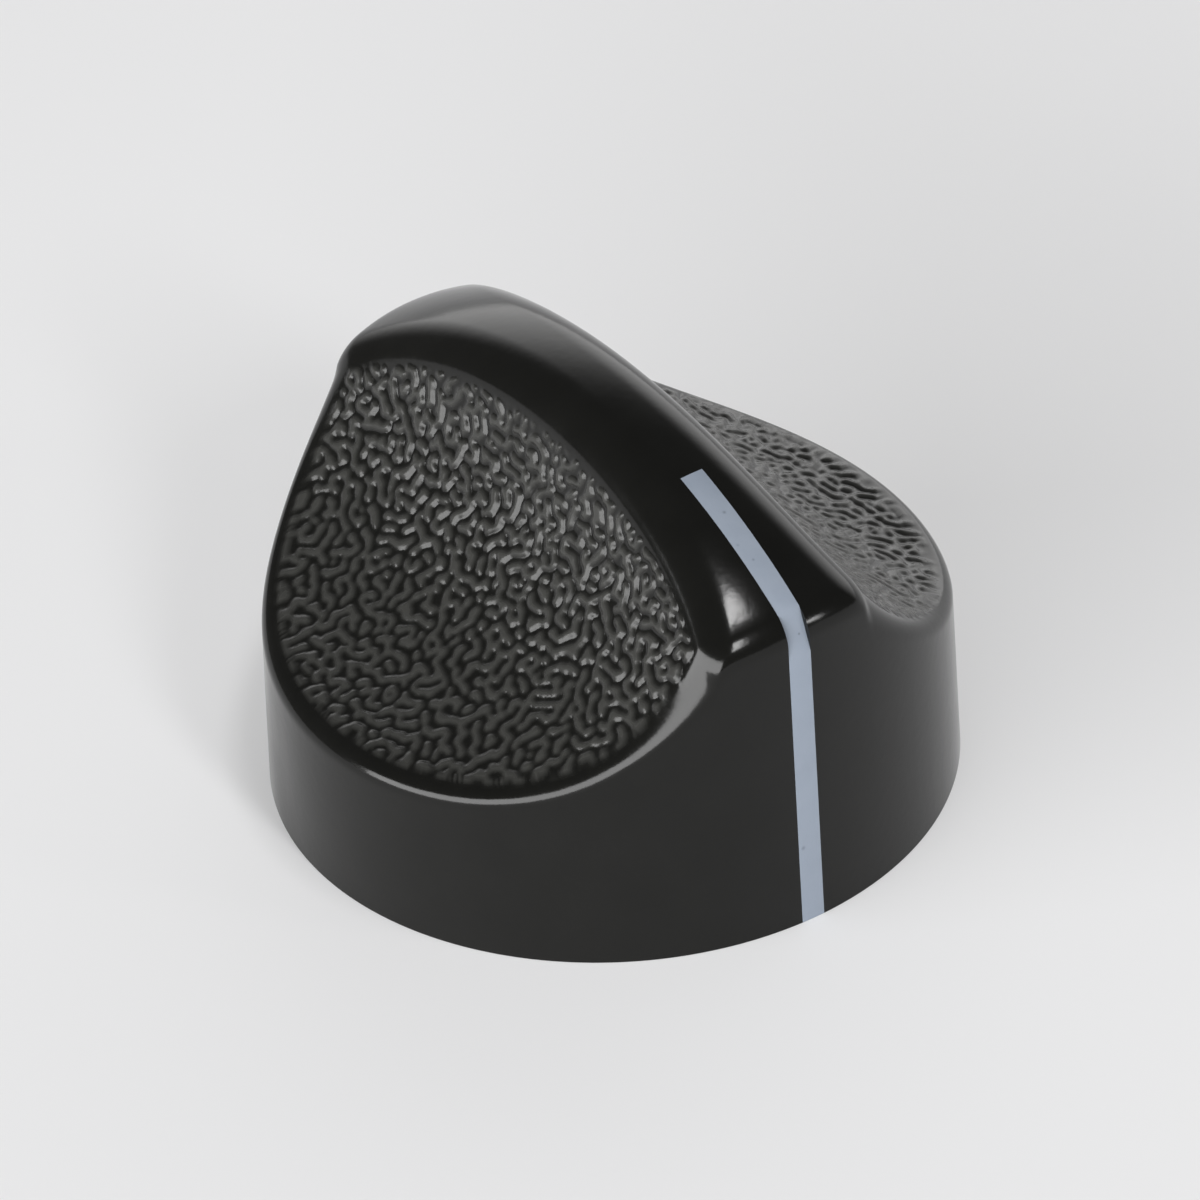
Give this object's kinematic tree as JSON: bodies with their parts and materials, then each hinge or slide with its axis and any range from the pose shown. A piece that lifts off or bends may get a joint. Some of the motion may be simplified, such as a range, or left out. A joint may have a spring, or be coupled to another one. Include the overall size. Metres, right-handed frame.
{
  "type": "range hood knob",
  "caption": "Round control knob with a raised grip bar between two concave finger scoops, a pointer line over one end and a socket for a shaft with a flat.",
  "frame": {"origin": "centre of the base plane, on the shaft's axis", "axes": "+Z along the shaft's axis, away from the panel; the bar lies along Y with its pointer end towards -Y, and the finger scoops open towards -X and +X"},
  "size_m": [0.028, 0.028, 0.019],
  "materials": {
    "knob_plastic": "black moulded plastic, semi-gloss on the bar and skirt, with a glossy leather grain in the finger scoops",
    "pointer_paint": "satin blue-grey paint"
  },
  "bodies": {
    "root": {"knob_body": "knob_plastic", "pointer_line": "pointer_paint"}
  },
  "joints": []
}
